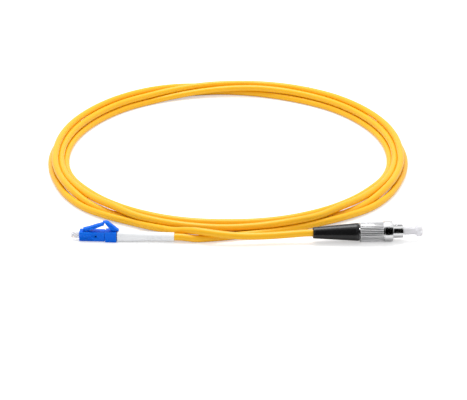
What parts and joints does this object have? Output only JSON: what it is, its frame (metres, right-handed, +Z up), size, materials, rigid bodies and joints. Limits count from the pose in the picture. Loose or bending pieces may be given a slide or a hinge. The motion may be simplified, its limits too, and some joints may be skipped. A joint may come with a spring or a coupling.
{
  "type": "fibre optic patch cord",
  "caption": "Simplex yellow fibre optic patch cord in a flat round coil, with a blue latched LC plug and white boot at one end and a threaded metal FC plug with black boot at the other.",
  "frame": {"origin": "bottom centre of the two plugs' common box, on the surface that the cord lies on", "axes": "+X from the LC plug to the FC plug, +Z up; the coil lies on the +Y side"},
  "size_m": [0.1853, 0.1936, 0.0099],
  "materials": {
    "cord_yellow": "satin jacket",
    "cap_clear": "translucent",
    "zirconia": "polished",
    "brass": "turned",
    "spring_steel": "bright wire",
    "plug_blue": "moulded",
    "nickel": "nickel plated",
    "boot_white": "moulded",
    "fibre_buffer": "smooth",
    "fibre_washer": "dull",
    "boot_black": "moulded"
  },
  "bodies": {
    "cord_and_shells": {"cord_coil": "cord_yellow", "lc_housing": "plug_blue", "lc_rear_body": "plug_blue", "lc_spring": "spring_steel", "lc_spring_push": "nickel", "lc_crimp_sleeve": "nickel", "lc_boot": "boot_white", "lc_buffered_fibre": "fibre_buffer", "fc_plug_frame": "nickel", "fc_rear_body": "nickel", "fc_spring": "spring_steel", "fc_crimp_sleeve": "nickel", "fc_boot": "boot_black", "fc_buffered_fibre": "fibre_buffer"},
    "lc_latch_arm": {"lc_latch": "plug_blue"},
    "lc_trigger_lever": {"lc_trigger": "plug_blue"},
    "lc_ferrule_set": {"lc_ferrule": "zirconia", "lc_ferrule_flange": "brass"},
    "lc_cap": {"lc_dust_cap": "cap_clear"},
    "fc_ferrule_set": {"fc_ferrule": "zirconia", "fc_ferrule_flange": "nickel"},
    "fc_cap": {"fc_dust_cap": "cap_clear"},
    "fc_nut_carrier": {"fc_nut_spacer": "fibre_washer"},
    "fc_nut": {"fc_coupling_nut": "nickel"}
  },
  "joints": [
    {"name": "lc_latch_hinge", "type": "hinge", "parent": "cord_and_shells", "child": "lc_latch_arm", "pos_m": [-0.07617, 0.00112, 0.0053], "axis": [0.0523, 0.9986, 0], "range_deg": [0, 6], "stiffness_Nm_per_rad": 0.0005},
    {"name": "lc_trigger_hinge", "type": "hinge", "parent": "cord_and_shells", "child": "lc_trigger_lever", "pos_m": [-0.06299, 0.00043, 0.00565], "axis": [-0.0523, -0.9986, 0], "range_deg": [0, 12]},
    {"name": "lc_ferrule_slide", "type": "slide", "parent": "cord_and_shells", "child": "lc_ferrule_set", "axis": [0.9986, -0.0523, 0], "range_m": [0, 0.0008], "stiffness_N_per_m": 900, "deforming": ["lc_spring"]},
    {"name": "lc_cap_slide", "type": "slide", "parent": "cord_and_shells", "child": "lc_cap", "axis": [-0.9986, 0.0523, 0], "range_m": [0, 0.012]},
    {"name": "fc_ferrule_slide", "type": "slide", "parent": "cord_and_shells", "child": "fc_ferrule_set", "axis": [-0.9986, -0.0523, 0], "range_m": [0, 0.001], "stiffness_N_per_m": 1200, "deforming": ["fc_spring"]},
    {"name": "fc_cap_slide", "type": "slide", "parent": "cord_and_shells", "child": "fc_cap", "axis": [0.9986, 0.0523, 0], "range_m": [0, 0.015]},
    {"name": "fc_nut_slide", "type": "slide", "parent": "cord_and_shells", "child": "fc_nut_carrier", "axis": [0.9986, 0.0523, 0], "range_m": [0, 0.003]},
    {"name": "fc_nut_spin", "type": "hinge", "parent": "fc_nut_carrier", "child": "fc_nut", "pos_m": [0.06093, -0.00003, 0.0049], "axis": [0.9986, 0.0523, 0], "continuous": true}
  ],
  "couplings": [
    {"joint": "lc_trigger_hinge", "follows": "lc_latch_hinge", "ratio": 2}
  ]
}
